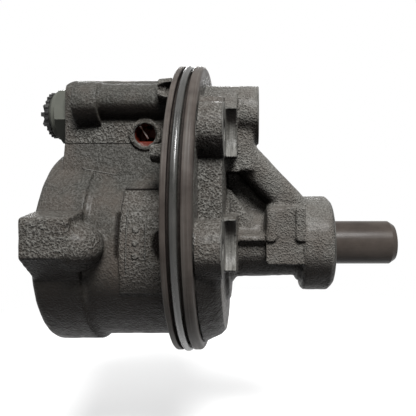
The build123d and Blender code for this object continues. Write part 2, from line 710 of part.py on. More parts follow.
for seal_name, seal_x in (
    ("end_plate_seal", END_REAR_X + END_PLATE_T / 2),
    ("pressure_plate_seal", PLATE_REAR_X + PRESSURE_PLATE_T / 2),
):
    with BuildPart() as bore_seal:
        with BuildSketch(Plane.XZ):
            with Locations((seal_x, BORE_R + SEAL_CORD / 2)):
                Circle(SEAL_CORD / 2)
        revolve(axis=Axis.X)
    finish(bore_seal.part, seal_name)

# ================================================================ shaft, bushing, shaft seal
with BuildPart() as drive_shaft:
    with BuildSketch(station(ROTOR_FRONT_X)):
        Circle(JOURNAL_R)
    extrude(amount=NOSE_X + SEAT_SETBACK - ROTOR_FRONT_X)
    with BuildSketch(station(NOSE_X + SEAT_SETBACK)):
        Circle(SHAFT_R)
    extrude(amount=SHAFT_END_X - NOSE_X - SEAT_SETBACK)
    tip_edge = drive_shaft.edges().sort_by(Axis.X)[-1]
    chamfer(tip_edge, length=SHAFT_CHAMFER_LENGTH, length2=SHAFT_CHAMFER_DEPTH)
    shaft_rear_x = CAM_REAR_X - CLIP_RECESS_DEPTH + 2 * LOOSE
    with BuildSketch(station(ROTOR_FRONT_X)):
        Circle(SPLINE_ROOT_R)
        with PolarLocations(SPLINE_ROOT_R / 2, SPLINE_COUNT):
            Rectangle(2 * SPLINE_TIP_R - SPLINE_ROOT_R, SPLINE_WIDTH)
    extrude(amount=shaft_rear_x - ROTOR_FRONT_X)
    with BuildSketch(station(ROTOR_REAR_X)):
        Circle(SHAFT_R)
        Circle(CLIP_GROOVE_R, mode=Mode.SUBTRACT)
    extrude(amount=-CLIP_T - 2 * SEATED, mode=Mode.SUBTRACT)
    with BuildSketch(station(SHAFT_END_X)):
        Circle(PULLER_HOLE_R)
    extrude(amount=-PULLER_HOLE_DEPTH, mode=Mode.SUBTRACT)
finish(drive_shaft.part, "drive_shaft")

with BuildPart() as shaft_bushing:
    with BuildSketch(station(BUSHING_FRONT_X)):
        Circle(BUSHING_R)
        Circle(JOURNAL_R + RUNNING, mode=Mode.SUBTRACT)
    extrude(amount=-BUSHING_LENGTH)
finish(shaft_bushing.part, "shaft_bushing")

with BuildPart() as shaft_seal:
    with BuildSketch(Plane.XZ):
        seal_rear_x = SEAL_BORE_X
        seal_front_x = SEAL_BORE_X + SEAL_LENGTH
        lip_r = JOURNAL_R + LOOSE
        with BuildLine():
            Polyline(
                (seal_rear_x, SEAL_R),
                (seal_front_x, SEAL_R),
                (seal_front_x, lip_r + SEAL_WALL),
                (seal_front_x - SEAL_WALL, lip_r),
                (seal_front_x - 2 * SEAL_WALL, lip_r + SEAL_WALL),
                (seal_front_x - 2 * SEAL_WALL, SEAL_R - 3 * SEAL_WALL),
                (seal_rear_x + SEAL_WALL, lip_r + SEAL_WALL),
                (seal_rear_x, lip_r),
                (seal_rear_x, lip_r + 2 * SEAL_WALL),
                (seal_front_x - 3 * SEAL_WALL, SEAL_R - SEAL_WALL),
                (seal_rear_x, SEAL_R - SEAL_WALL),
                close=True,
            )
        make_face()
    revolve(axis=Axis.X)
finish(shaft_seal.part, "shaft_seal")

# ================================================================ pumping group
plate_r = BORE_R - SEATED
port_angles = (45, 135, 225, 315)
port_arc_r = PORT_CIRCLE_R - PORT_WIDTH / 2

with BuildPart() as thrust_plate:
    with BuildSketch(station(THRUST_REAR_X)):
        Circle(plate_r)
        Circle(JOURNAL_R + LOOSE, mode=Mode.SUBTRACT)
        with PolarLocations(DOWEL_CIRCLE_R, 2, start_angle=90):
            Circle(DOWEL_R + SEATED, mode=Mode.SUBTRACT)
    extrude(amount=THRUST_PLATE_T)
    with BuildSketch(station(THRUST_REAR_X)):
        for port_angle in port_angles:
            SlotArc(CenterArc((0, 0), port_arc_r, port_angle - PORT_SPAN / 2, PORT_SPAN), PORT_WIDTH)
    extrude(amount=PORT_DEPTH, mode=Mode.SUBTRACT)
finish(thrust_plate.part, "thrust_plate")

with BuildPart() as cam_ring:
    with BuildSketch(station(CAM_REAR_X)):
        Circle(plate_r)
        Ellipse(CAM_MAJOR_R, CAM_MINOR_R, mode=Mode.SUBTRACT)
        with PolarLocations(DOWEL_CIRCLE_R, 2, start_angle=90):
            Circle(DOWEL_R + SEATED, mode=Mode.SUBTRACT)
    extrude(amount=CAM_RING_T)
finish(cam_ring.part, "cam_ring")

with BuildPart() as pressure_plate:
    with BuildSketch(station(PLATE_REAR_X)):
        Circle(plate_r)
    extrude(amount=PRESSURE_PLATE_T)
    with BuildSketch(station(CAM_REAR_X)):
        Circle(CLIP_RECESS_R)
    extrude(amount=-CLIP_RECESS_DEPTH, mode=Mode.SUBTRACT)
    with BuildSketch(station(CAM_REAR_X)):
        with PolarLocations(DOWEL_CIRCLE_R, 2, start_angle=90):
            Circle(DOWEL_R + SEATED)
    extrude(amount=-DOWEL_SOCKET, mode=Mode.SUBTRACT)
    with BuildSketch(station(PLATE_REAR_X)):
        for port_angle in port_angles[::2]:
            SlotArc(CenterArc((0, 0), port_arc_r, port_angle - PORT_SPAN / 2, PORT_SPAN), PORT_WIDTH)
    extrude(amount=PRESSURE_PLATE_T, mode=Mode.SUBTRACT)
finish(pressure_plate.part, "pressure_plate")

with BuildPart() as dowel_pins:
    with BuildSketch(station(CAM_REAR_X - DOWEL_SOCKET + RUNNING)):
        with PolarLocations(DOWEL_CIRCLE_R, 2, start_angle=90):
            Circle(DOWEL_R)
    extrude(amount=CAM_RING_T + THRUST_PLATE_T + 2 * DOWEL_SOCKET - 2 * RUNNING)
finish(dowel_pins.part, "dowel_pins")

slot_root = VANE_TIP_R - VANE_HEIGHT - VANE_TRAVEL_IN
slot_width = VANE_T + 2 * RUNNING
with BuildPart() as rotor:
    with BuildSketch(station(ROTOR_REAR_X)):
        Circle(ROTOR_R)
        Circle(SPLINE_ROOT_R + SEATED, mode=Mode.SUBTRACT)
        with PolarLocations(SPLINE_ROOT_R / 2, SPLINE_COUNT):
            Rectangle(
                2 * SPLINE_TIP_R - SPLINE_ROOT_R + 2 * SEATED,
                SPLINE_WIDTH + 2 * SEATED,
                mode=Mode.SUBTRACT,
            )
        with PolarLocations((slot_root + ROTOR_R + 1) / 2, VANE_COUNT):
            Rectangle(ROTOR_R + 1 - slot_root, slot_width, mode=Mode.SUBTRACT)
        with PolarLocations(slot_root, VANE_COUNT):
            Circle(SLOT_ROOT_R, mode=Mode.SUBTRACT)
    extrude(amount=ROTOR_FRONT_X - ROTOR_REAR_X)
finish(rotor.part, "rotor")

for index in range(VANE_COUNT):
    with BuildPart() as vane:
        with BuildSketch(station(ROTOR_REAR_X)):
            with PolarLocations(VANE_TIP_R - VANE_HEIGHT / 2, 1, start_angle=360 * index / VANE_COUNT):
                RectangleRounded(VANE_HEIGHT, VANE_T, VANE_ROUND)
        extrude(amount=ROTOR_FRONT_X - ROTOR_REAR_X)
    finish(vane.part, f"vane_{index + 1:02d}")

with BuildPart() as rotor_clip:
    with BuildSketch(station(ROTOR_REAR_X - SEATED)):
        Circle(CLIP_R)
        Circle(CLIP_GROOVE_R + SEATED, mode=Mode.SUBTRACT)
        with Locations((0, -CLIP_R / 2)):
            Rectangle(1.6 * CLIP_GROOVE_R, CLIP_R, mode=Mode.SUBTRACT)
    extrude(amount=-CLIP_T)
finish(rotor_clip.part, "rotor_retaining_ring")


def coil(name, start, radius, wire, height, turns):
    """Open coil spring along X from its start point."""
    free_height = height - wire
    path_start = start + Vector(wire / 2, 0, 0)
    with BuildPart() as spring:
        with BuildLine() as path:
            Helix(
                pitch=free_height / turns,
                height=free_height,
                radius=radius,
                center=path_start,
                direction=(1, 0, 0),
            )
        with BuildSketch(Plane(origin=path.line @ 0, z_dir=path.line % 0)):
            Circle(wire / 2)
        sweep(is_frenet=True)
    finish(spring.part, name)


coil(
    "pressure_plate_spring",
    Vector(END_FRONT_X, 0, 0),
    PLATE_SPRING_R,
    PLATE_SPRING_WIRE,
    SPRING_SPACE,
    PLATE_SPRING_TURNS,
)

with BuildPart() as end_plate:
    with BuildSketch(Plane.XZ):
        with BuildLine():
            Polyline(
                (END_FRONT_X, 0),
                (END_FRONT_X, plate_r),
                (END_REAR_X, plate_r),
                (END_REAR_X, DISH_R + DISH_DEPTH),
                (END_REAR_X + DISH_DEPTH, DISH_R),
                (END_REAR_X + DISH_DEPTH, 0),
                close=True,
            )
        make_face()
    revolve(axis=Axis.X)
finish(end_plate.part, "end_plate")

with BuildPart() as end_ring:
    with BuildSketch(station(END_REAR_X - SEATED)):
        Circle(BORE_R + RING_GROOVE_DEPTH - 2 * SEATED)
        Circle(BORE_R + RING_GROOVE_DEPTH - RING_WIDTH, mode=Mode.SUBTRACT)
        with BuildLine():
            gap_reach = 2 * BORE_R
            gap_half = radians(RING_GAP_ANGLE / 2)
            Polyline(
                (0, 0),
                (gap_reach * cos(gap_half), gap_reach * sin(gap_half)),
                (gap_reach * cos(gap_half), -gap_reach * sin(gap_half)),
                close=True,
            )
        make_face(mode=Mode.SUBTRACT)
    extrude(amount=-(RING_GROOVE_T - 2 * SEATED))
finish(end_ring.part, "end_plate_retaining_ring")

# ================================================================ outlet union, its seal and the plug
with BuildPart() as outlet_union:
    with BuildSketch(station(VALVE_SEAT_X)):
        with Locations((VALVE_Y, VALVE_Z)):
            RegularPolygon(UNION_AF / 2, 6, major_radius=False, rotation=UNION_HEX_TURN)
    extrude(amount=-UNION_HEX_LENGTH)
    with BuildSketch(Plane.XZ.offset(-VALVE_Y)):
        hex_corner = UNION_AF / sqrt(3)
        hex_rear_x = VALVE_SEAT_X - UNION_HEX_LENGTH
        with BuildLine():
            Polyline(
                (hex_rear_x, VALVE_Z + UNION_AF / 2 - LOOSE),
                (hex_rear_x, VALVE_Z + hex_corner + 1),
                (hex_rear_x + (hex_corner + 1 - UNION_AF / 2) * 0.6, VALVE_Z + hex_corner + 1),
                close=True,
            )
        make_face()
    revolve(axis=VALVE_AXIS, mode=Mode.SUBTRACT)
    with BuildSketch(Plane.XZ.offset(-VALVE_Y)):
        shank_end_x = VALVE_SEAT_X + UNION_SHANK_LENGTH
        shank_r = VALVE_BORE_R - SEATED
        collar_round = UNION_COLLAR_LENGTH * 0.5
        with BuildLine():
            Polyline(
                (UNION_REAR_X, VALVE_Z),
                (UNION_REAR_X, VALVE_Z + UNION_COLLAR_R - collar_round),
                (UNION_REAR_X + collar_round, VALVE_Z + UNION_COLLAR_R),
                (VALVE_SEAT_X, VALVE_Z + UNION_COLLAR_R),
                (VALVE_SEAT_X, VALVE_Z + UNION_UNDERCUT_R),
                (VALVE_SEAT_X + UNION_UNDERCUT, VALVE_Z + UNION_UNDERCUT_R),
                (VALVE_SEAT_X + UNION_UNDERCUT + SEATED, VALVE_Z + shank_r),
                (shank_end_x, VALVE_Z + shank_r),
                (shank_end_x, VALVE_Z + UNION_NOSE_R),
                (UNION_INNER_X, VALVE_Z + UNION_NOSE_R),
                (UNION_INNER_X, VALVE_Z),
                close=True,
            )
        make_face()
    revolve(axis=VALVE_AXIS)
    with BuildSketch(station(UNION_REAR_X)):
        with Locations((VALVE_Y, VALVE_Z)):
            Circle(UNION_PORT_R)
    extrude(amount=UNION_PORT_DEPTH, mode=Mode.SUBTRACT)
    with BuildSketch(station(UNION_REAR_X)):
        with Locations((VALVE_Y, VALVE_Z)):
            Circle(UNION_FLOW_R)
    extrude(amount=UNION_INNER_X - UNION_REAR_X, mode=Mode.SUBTRACT)
finish(outlet_union.part, "outlet_union")

with BuildPart() as union_seal:
    with BuildSketch(Plane.XZ.offset(-VALVE_Y)):
        union_seal_z = VALVE_Z + UNION_UNDERCUT_R + SEATED + UNION_SEAL_CORD / 2
        with Locations((VALVE_SEAT_X + UNION_UNDERCUT / 2, union_seal_z)):
            Circle(UNION_SEAL_CORD / 2)
    revolve(axis=VALVE_AXIS)
finish(union_seal.part, "union_seal")

with BuildPart() as outlet_plug:
    with BuildSketch(station(UNION_REAR_X)) as head_outline:
        with Locations((VALVE_Y, VALVE_Z)):
            Circle(PLUG_HEAD_R)
            with PolarLocations(PLUG_HEAD_R, PLUG_RIBS):
                Circle(2 * LOOSE)
    extrude(amount=-PLUG_HEAD_T)
    with BuildSketch(station(UNION_REAR_X - PLUG_HEAD_T)):
        with Locations((VALVE_Y, VALVE_Z)):
            Circle(PLUG_STAR_R / 2)
            with PolarLocations(PLUG_STAR_R / 2, PLUG_PRONGS):
                Rectangle(PLUG_STAR_R, PLUG_PRONG_WIDTH)
    extrude(amount=-PLUG_STAR_LENGTH)
    with BuildSketch(station(UNION_REAR_X)):
        with Locations((VALVE_Y, VALVE_Z)):
            Circle(UNION_PORT_R - LOOSE)
            Circle(UNION_FLOW_R, mode=Mode.SUBTRACT)
    extrude(amount=PLUG_INSERT)
finish(outlet_plug.part, "outlet_plug")

# ================================================================ flow control valve
relief_seat_x = SPOOL_FRONT_X - SPOOL_HOLLOW_DEPTH
ball_x = relief_seat_x + sqrt(RELIEF_BALL_R**2 - RELIEF_SEAT_R**2) + RUNNING
guide_x = ball_x + RELIEF_BALL_R + SEATED
relief_plug_x = SPOOL_FRONT_X - RELIEF_PLUG_T
with BuildPart() as flow_control_spool:
    with BuildSketch(station(SPOOL_REAR_X)):
        with Locations((VALVE_Y, VALVE_Z)):
            Circle(VALVE_BORE_R - RUNNING)
    extrude(amount=SPOOL_LAND_LENGTH)
    groove_pitch = SPOOL_LAND_LENGTH / (SPOOL_LAND_GROOVES + 1)
    for groove in range(SPOOL_LAND_GROOVES):
        with BuildSketch(station(SPOOL_REAR_X + groove_pitch * (groove + 1) - SPOOL_GROOVE_T / 2)):
            with Locations((VALVE_Y, VALVE_Z)):
                Circle(VALVE_BORE_R)
                Circle(VALVE_BORE_R - SPOOL_GROOVE_DEPTH, mode=Mode.SUBTRACT)
        extrude(amount=SPOOL_GROOVE_T, mode=Mode.SUBTRACT)
    with BuildSketch(station(SPOOL_SHOULDER_X)):
        with Locations((VALVE_Y, VALVE_Z)):
            Circle(SPOOL_STEM_R)
    extrude(amount=SPOOL_STEM_LENGTH)
    with BuildSketch(station(relief_seat_x)):
        with Locations((VALVE_Y, VALVE_Z)):
            Circle(SPOOL_HOLLOW_R)
    extrude(amount=SPOOL_HOLLOW_DEPTH, mode=Mode.SUBTRACT)
    with BuildSketch(station(SPOOL_REAR_X)):
        with Locations((VALVE_Y, VALVE_Z)):
            Circle(RELIEF_SEAT_R)
    extrude(amount=relief_seat_x - SPOOL_REAR_X, mode=Mode.SUBTRACT)
finish(flow_control_spool.part, "flow_control_spool")

with BuildPart() as relief_ball:
    with Locations((ball_x, VALVE_Y, VALVE_Z)):
        Sphere(RELIEF_BALL_R)
finish(relief_ball.part, "relief_ball")

with BuildPart() as relief_guide:
    with BuildSketch(station(guide_x)):
        with Locations((VALVE_Y, VALVE_Z)):
            Circle(SPOOL_HOLLOW_R - LOOSE)
    extrude(amount=RELIEF_GUIDE_T)
    with BuildSketch(station(guide_x)):
        with Locations((VALVE_Y, VALVE_Z)):
            Circle(RELIEF_STEM_R)
    extrude(amount=RELIEF_GUIDE_T + RELIEF_STEM_LENGTH)
finish(relief_guide.part, "relief_guide")

with BuildPart() as relief_plug:
    with BuildSketch(station(relief_plug_x)):
        with Locations((VALVE_Y, VALVE_Z)):
            Circle(SPOOL_HOLLOW_R - SEATED)
            Circle(RELIEF_PLUG_HOLE_R, mode=Mode.SUBTRACT)
    extrude(amount=RELIEF_PLUG_T)
finish(relief_plug.part, "relief_plug")

coil(
    "relief_spring",
    Vector(guide_x + RELIEF_GUIDE_T + SEATED, VALVE_Y, VALVE_Z),
    RELIEF_SPRING_R,
    RELIEF_SPRING_WIRE,
    relief_plug_x - guide_x - RELIEF_GUIDE_T - 2 * SEATED,
    RELIEF_SPRING_TURNS,
)
coil(
    "flow_control_spring",
    Vector(SPOOL_SHOULDER_X + SEATED, VALVE_Y, VALVE_Z),
    VALVE_BORE_R - LOOSE - CONTROL_SPRING_WIRE / 2,
    CONTROL_SPRING_WIRE,
    VALVE_BORE_END_X - SPOOL_SHOULDER_X - 2 * SEATED,
    CONTROL_SPRING_TURNS,
)
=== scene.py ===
import json
from math import cos, pi, sin, tau

import bmesh
import bpy
import numpy as np
from bpy.props import FloatProperty, FloatVectorProperty, IntProperty, PointerProperty
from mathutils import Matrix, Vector, noise

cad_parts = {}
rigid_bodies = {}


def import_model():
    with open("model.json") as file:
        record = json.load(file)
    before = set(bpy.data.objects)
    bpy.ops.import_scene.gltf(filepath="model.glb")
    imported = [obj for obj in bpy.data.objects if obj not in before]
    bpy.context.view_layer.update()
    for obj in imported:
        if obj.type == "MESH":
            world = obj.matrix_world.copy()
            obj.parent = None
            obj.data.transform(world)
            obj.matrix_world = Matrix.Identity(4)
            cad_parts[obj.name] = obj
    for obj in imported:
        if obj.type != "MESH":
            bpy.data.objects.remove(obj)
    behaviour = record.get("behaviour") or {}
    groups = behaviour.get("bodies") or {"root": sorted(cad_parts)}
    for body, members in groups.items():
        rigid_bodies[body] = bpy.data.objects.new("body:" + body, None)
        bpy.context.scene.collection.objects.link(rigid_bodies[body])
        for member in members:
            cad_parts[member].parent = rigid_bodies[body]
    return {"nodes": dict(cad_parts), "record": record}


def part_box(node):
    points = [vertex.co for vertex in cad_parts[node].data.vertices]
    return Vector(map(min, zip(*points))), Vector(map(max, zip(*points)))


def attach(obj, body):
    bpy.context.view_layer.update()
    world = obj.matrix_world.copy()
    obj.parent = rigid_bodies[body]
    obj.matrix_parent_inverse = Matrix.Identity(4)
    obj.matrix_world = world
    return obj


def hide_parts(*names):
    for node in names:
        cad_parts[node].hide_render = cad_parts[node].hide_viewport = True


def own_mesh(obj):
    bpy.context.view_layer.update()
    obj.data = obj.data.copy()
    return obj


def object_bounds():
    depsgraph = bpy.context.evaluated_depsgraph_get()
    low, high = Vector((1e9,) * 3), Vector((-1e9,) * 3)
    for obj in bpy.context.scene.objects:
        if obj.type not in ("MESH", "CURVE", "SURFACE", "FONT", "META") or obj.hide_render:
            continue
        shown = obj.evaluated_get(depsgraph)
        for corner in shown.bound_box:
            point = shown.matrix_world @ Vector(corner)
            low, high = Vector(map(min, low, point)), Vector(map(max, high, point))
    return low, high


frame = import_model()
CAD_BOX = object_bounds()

bl_info = {
    "name": "Hydraulic Vane Pump Finish",
    "version": (1, 0, 0),
    "blender": (4, 5, 0),
    "location": "3D View > Sidebar > Vane Pump",
    "description": "Dresses a hydraulic vane pump with its castings, seals, steels, lamps and camera",
    "category": "Object",
}

MM = 0.001

# forms of the casting's skin, in millimetres
WEB_OUTLINE = ((-23.2, 43.6), (-26.8, 27.0), (-8.0, 35.0), (-8.0, 43.6))  # (y, z)
WEB_ENDS_X = (-65.0, -19.0)
SCALLOP_MIDDLE = (-19.5, 4.5)  # (x, z)
SCALLOP_R = 6.4
PAD_GROOVE_X = -39.9
PARTING_LINE_X = -52.0


def mount_place(name):
    """Place of one of the pump's mounts."""
    for mount in frame["record"]["mounts"]:
        if mount["name"] == name:
            return Vector(mount["pos_m"])
    raise ValueError(f"no mount named {name}")


def node_box(name):
    """Lowest and highest corner of a node at rest."""
    low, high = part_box(name)
    return Vector(low), Vector(high)


def node_middle(name):
    """Middle of a node's box at rest."""
    low, high = node_box(name)
    return (low + high) / 2


# ------------------------------------------------------------------ shader maths
class Field:
    """A node socket that takes part in Python arithmetic."""

    def __init__(self, graph, socket):
        self.graph = graph
        self.socket = socket

    def math(self, operation, first, second):
        return self.graph.add("ShaderNodeMath", {"operation": operation}, {0: first, 1: second})

    def __add__(self, other):
        return self.math("ADD", self, other)

    __radd__ = __add__

    def __mul__(self, other):
        return self.math("MULTIPLY", self, other)

    __rmul__ = __mul__

    def __sub__(self, other):
        return self.math("SUBTRACT", self, other)

    def __rsub__(self, other):
        return self.math("SUBTRACT", other, self)

    def __pow__(self, other):
        return self.math("POWER", self, other)

    def __abs__(self):
        return self.math("ABSOLUTE", self, 0.0)


class Graph:
    """A node tree with one method that adds any node."""

    def __init__(self, owner):
        owner.use_nodes = True
        self.owner = owner
        self.tree = owner.node_tree
        self.tree.nodes.clear()

    def add(self, kind, settings=None, inputs=None, output=0):
        node = self.tree.nodes.new(kind)
        for key, value in (settings or {}).items():
            if key == "stops":
                self.set_stops(node.color_ramp, value)
            else:
                setattr(node, key, value)
        for key, value in (inputs or {}).items():
            if isinstance(value, Field):
                self.tree.links.new(value.socket, node.inputs[key])
            else:
                node.inputs[key].default_value = value
        return Field(self, node.outputs[output]) if node.outputs else None

    def set_stops(self, ramp, stops):
        while len(ramp.elements) < len(stops):
            ramp.elements.new(1.0)
        for element, (place, colour) in zip(ramp.elements, stops):
            element.position = place
            element.color = colour

    def place(self):
        return self.add("ShaderNodeTexCoord", output="Object")

    def axis(self, name):
        return self.add("ShaderNodeSeparateXYZ", inputs={0: self.place()}, output=name)

    def stretch(self, factors):
        return self.add("ShaderNodeMapping", inputs={"Vector": self.place(), "Scale": factors})

    def noise(self, scale, detail=3.0, roughness=0.55, vector=None):
        inputs = {"Vector": vector or self.place(), "Scale": scale}
        inputs |= {"Detail": detail, "Roughness": roughness}
        return self.add("ShaderNodeTexNoise", inputs=inputs)

    def cells(self, scale, smoothness=0.6):
        settings = {"feature": "SMOOTH_F1"}
        inputs = {"Vector": self.place(), "Scale": scale, "Smoothness": smoothness}
        return self.add("ShaderNodeTexVoronoi", settings, inputs, "Distance")

    def mask(self, name):
        return self.add("ShaderNodeAttribute", {"attribute_name": name}, output="Fac")

    def ramp(self, value, *stops):
        return self.add("ShaderNodeValToRGB", {"stops": stops}, {"Fac": value})

    def blend(self, factor, first, second):
        settings = {"data_type": "RGBA", "blend_type": "MIX", "clamp_factor": True}
        return self.add("ShaderNodeMix", settings, {0: factor, 6: first, 7: second}, 2)

    def spread(self, value, low, high, to_low=0.0, to_high=1.0):
        inputs = {0: value, 1: low, 2: high, 3: to_low, 4: to_high}
        return self.add("ShaderNodeMapRange", {"clamp": True}, inputs)

    def span(self, value, low, high, soft):
        """1 where value lies from low to high, 0 beyond soft edges."""
        middle, half = (low + high) / 2, (high - low) / 2
        return self.spread(abs(value - middle), half, half + soft, 1.0, 0.0)

    def bump(self, height, distance):
        inputs = {"Height": height, "Distance": distance, "Strength": 1.0}
        return self.add("ShaderNodeBump", inputs=inputs)

    def principled(self, **sockets):
        inputs = {key.replace("_", " "): value for key, value in sockets.items()}
        shader = self.add("ShaderNodeBsdfPrincipled", inputs=inputs)
        self.add("ShaderNodeOutputMaterial", inputs={"Surface": shader})
        return self.owner


def new_finish(name):
    return Graph(bpy.data.materials.new(name))


# ------------------------------------------------------------------ finishes
def near_side(g):
    """1 on the side that faces -Y, where the pad is."""
    return g.spread(g.axis("Y"), -20 * MM, -18 * MM, 1.0, 0.0)


def pad_marks(g):
    """Raised lines and round pips on the pad, with the flash of the moulding box above it."""
    x, z = g.axis("X"), g.axis("Z")
    line = 0.2 * MM
    marks = g.span(x, -36.2 * MM, -35.9 * MM, line) * g.span(z, -5.8 * MM, 17.2 * MM, line)
    marks += g.span(x, -29.2 * MM, -28.9 * MM, line) * g.span(z, -1 * MM, 11.8 * MM, line)
    for height in (9.9, 5.2, 0.4):
        squares = (x + 32.7 * MM) ** 2 + (z - height * MM) ** 2
        marks += g.spread(squares**0.5, 0.9 * MM, 1.4 * MM, 1.0, 0.0)
    rise = z - 22.2 * MM + x * 0.185
    marks += g.span(rise, -0.15 * MM, 0.15 * MM, line) * g.span(x, -56 * MM, -44 * MM, MM)
    marks += g.span(z, -13.7 * MM, -13.3 * MM, line) * g.span(x, -39 * MM, -20 * MM, line)
    return marks * near_side(g)


def pad_edge_shadow(g):
    """Mask of the pad's upper edge: a painted shadow line in the colour and a shallow dent in the bump."""
    along = g.span(g.axis("X"), -38.4 * MM, -20 * MM, 0.3 * MM)
    return g.span(g.axis("Z"), 24.4 * MM, 24.7 * MM, 0.25 * MM) * along * near_side(g)


def cast_iron(look):
    """Oiled sand-cast iron, smooth and striped where a cutter has passed."""
    g = new_finish("oiled_cast_iron")
    cut = g.mask("cut")
    sand = g.mask("sand")
    port = g.mask("port")
    # painted shadow line at the pad's top edge, added to the painted shade below
    edge = pad_edge_shadow(g)
    soot = g.mask("soot") + edge
    marks = pad_marks(g)
    grain = g.noise(1050.0, 5.0, 0.65)
    lumps = g.cells(1400.0)
    clouds = g.noise(70.0, 4.0, 0.6)
    skin = g.ramp(
        grain * 0.7 + lumps * 0.35,
        (0.40, look.iron_dark[:]),
        (0.53, look.iron_mid[:]),
        (0.63, look.iron_light[:]),
    )
    skin = g.blend((1 - sand) * 0.75, skin, look.iron_smooth[:])
    # painted light: the nose end (+X) painted paler, as if lit more strongly from the front right
    skin = g.blend(g.spread(g.axis("X"), -5 * MM, 12 * MM, 0.0, 0.45), skin, look.iron_painted_light[:])
    low_down = g.spread(g.axis("Z"), -20 * MM, 25 * MM, 0.35, 0.0)
    brown = g.spread(clouds, 0.42, 0.68, 0.0, 0.5) + low_down
    skin = g.blend(brown, skin, look.iron_brown[:])
    tool_marks = g.noise(1500.0, 2.0, 0.5, g.stretch((1.0, 0.2, 0.06)))
    faced = g.ramp(tool_marks, (0.32, look.cut_dark[:]), (0.68, look.cut_light[:]))
    colour = g.blend(cut, skin, faced)
    colour = g.blend(marks * 0.5, colour, look.iron_light[:])
    # painted shade: undersides, corners and the pad's edge line darkened to near black
    colour = g.blend(soot, colour, look.iron_painted_shade[:])
    colour = g.blend(port, colour, look.oil_red[:])
    shine = g.spread(g.noise(420.0, 3.0, 0.6), 0.35, 0.65, 0.3, 0.44)
    height = (grain * 0.9 + lumps * 0.6) * (0.35 + sand * 0.65) * (1 - cut * 0.85)
    return g.principled(
        Base_Color=colour,
        Roughness=shine,
        Specular_IOR_Level=0.04,
        # no coat sheen where shade is painted
        Coat_Weight=(1 - soot) * 0.06,
        Coat_Roughness=0.3,
        Normal=g.bump(height + marks * 0.9 - edge * 0.9, 0.0011),
    )


def turned_iron(look):
    """Rims turned on a lathe, brown with old oil, with fine rings round them."""
    g = new_finish("turned_iron_rims")
    rings = g.noise(1800.0, 2.0, 0.5, g.stretch((1.0, 0.015, 0.015)))
    smear = g.noise(90.0, 4.0, 0.65)
    tone = g.ramp(smear, (0.32, look.rim_dark[:]), (0.68, look.rim_light[:]))
    tone = g.blend(g.spread(rings, 0.5, 0.75, 0.0, 0.35), tone, look.cut_light[:])
    return g.principled(
        Base_Color=tone,
        Roughness=g.spread(rings, 0.3, 0.7, 0.36, 0.5),
        Specular_IOR_Level=0.05,
        Normal=g.bump(rings, 0.00008),
    )


def groove_painted_shade(look):
    """Painted shade in the seal's groove, mottled near black."""
    g = new_finish("oily_groove_painted_shade")
    mottle = g.noise(700.0, 4.0, 0.6)
    tone = g.ramp(mottle, (0.3, look.iron_painted_shade[:]), (0.8, look.rim_dark[:]))
    return g.principled(
        Base_Color=tone,
        Roughness=g.spread(mottle, 0.3, 0.7, 0.5, 0.8),
        Specular_IOR_Level=0.05,
        Normal=g.bump(mottle, 0.0001),
    )


def steel(name, dark, light, roughness, metallic, along=(0.05, 1.0, 1.0), marks=0.00003):
    """Ground, turned or drawn steel with fine marks and faint stains."""
    g = new_finish(name)
    fine = g.noise(1600.0, 3.0, 0.6, g.stretch(along))
    stain = g.noise(95.0, 5.0, 0.65)
    tone = g.ramp(stain, (0.3, dark), (0.7, light))
    return g.principled(
        Base_Color=tone,
        Roughness=g.spread(fine, 0.25, 0.75, roughness - 0.05, roughness + 0.1),
        Metallic=metallic,
        Specular_IOR_Level=0.05,
        Normal=g.bump(fine, marks),
    )


def seal_rubber(look):
    """Black moulded rubber under a film of old oil, with the mould's parting line."""
    g = new_finish("oiled_seal_rubber")
    bloom = g.noise(240.0, 4.0, 0.6, g.stretch((1.0, 0.3, 0.3)))
    tone = g.ramp(bloom, (0.35, look.rubber_dark[:]), (0.75, look.rubber_light[:]))
    seal_x = node_middle("flange_seal").x
    line = g.spread(abs(g.axis("X") - seal_x), 0.00012, 0.0003, 1.0, 0.0)
    return g.principled(
        Base_Color=tone,
        Roughness=g.spread(bloom, 0.3, 0.7, 0.22, 0.36),
        Specular_IOR_Level=0.35,
        Normal=g.bump(line + bloom * 0.3, 0.0001),
    )


def moulded_plastic(look):
    """Black plastic with a faint moulded grain."""
    g = new_finish("black_moulded_plastic")
    grain = g.noise(1500.0, 2.0)
    wear = g.noise(300.0, 3.0)
    tone = g.ramp(wear, (0.4, look.plastic_dark[:]), (0.8, look.plastic_light[:]))
    return g.principled(
        Base_Color=tone,
        Roughness=g.spread(wear, 0.3, 0.7, 0.35, 0.5),
        Specular_IOR_Level=0.15,
        Normal=g.bump(grain, 0.00004),
    )


# ------------------------------------------------------------------ meshes
def link(name, mesh):
    piece = bpy.data.objects.new(name, mesh)
    bpy.context.scene.collection.objects.link(piece)
    return piece


def bake_modifiers(piece):
    """Swap a piece's mesh for the one its modifiers give."""
    graph = bpy.context.evaluated_depsgraph_get()
    mesh = bpy.data.meshes.new_from_object(piece.evaluated_get(graph))
    piece.modifiers.clear()
    piece.data = mesh
    return mesh


def coat(piece, finish, smooth=True):
    piece.data.materials.clear()
    piece.data.materials.append(finish)
    piece.data.polygons.foreach_set("use_smooth", [smooth] * len(piece.data.polygons))


def dress(node, finish):
    """Give a node's own object a finish."""
    piece = frame["nodes"][node]
    piece.data.materials.clear()
    piece.data.materials.append(finish)


def settle(piece, node, body):
    """Let a piece stand for a node and ride on its body."""
    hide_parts(node)
    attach(piece, body)


def points_of(mesh):
    flat = np.empty(len(mesh.vertices) * 3, dtype=np.float32)
    mesh.vertices.foreach_get("co", flat)
    return flat.reshape(-1, 3).astype(np.float64)


def normals_of(mesh):
    flat = np.empty(len(mesh.vertices) * 3, dtype=np.float32)
    mesh.vertex_normals.foreach_get("vector", flat)
    return flat.reshape(-1, 3).astype(np.float64)


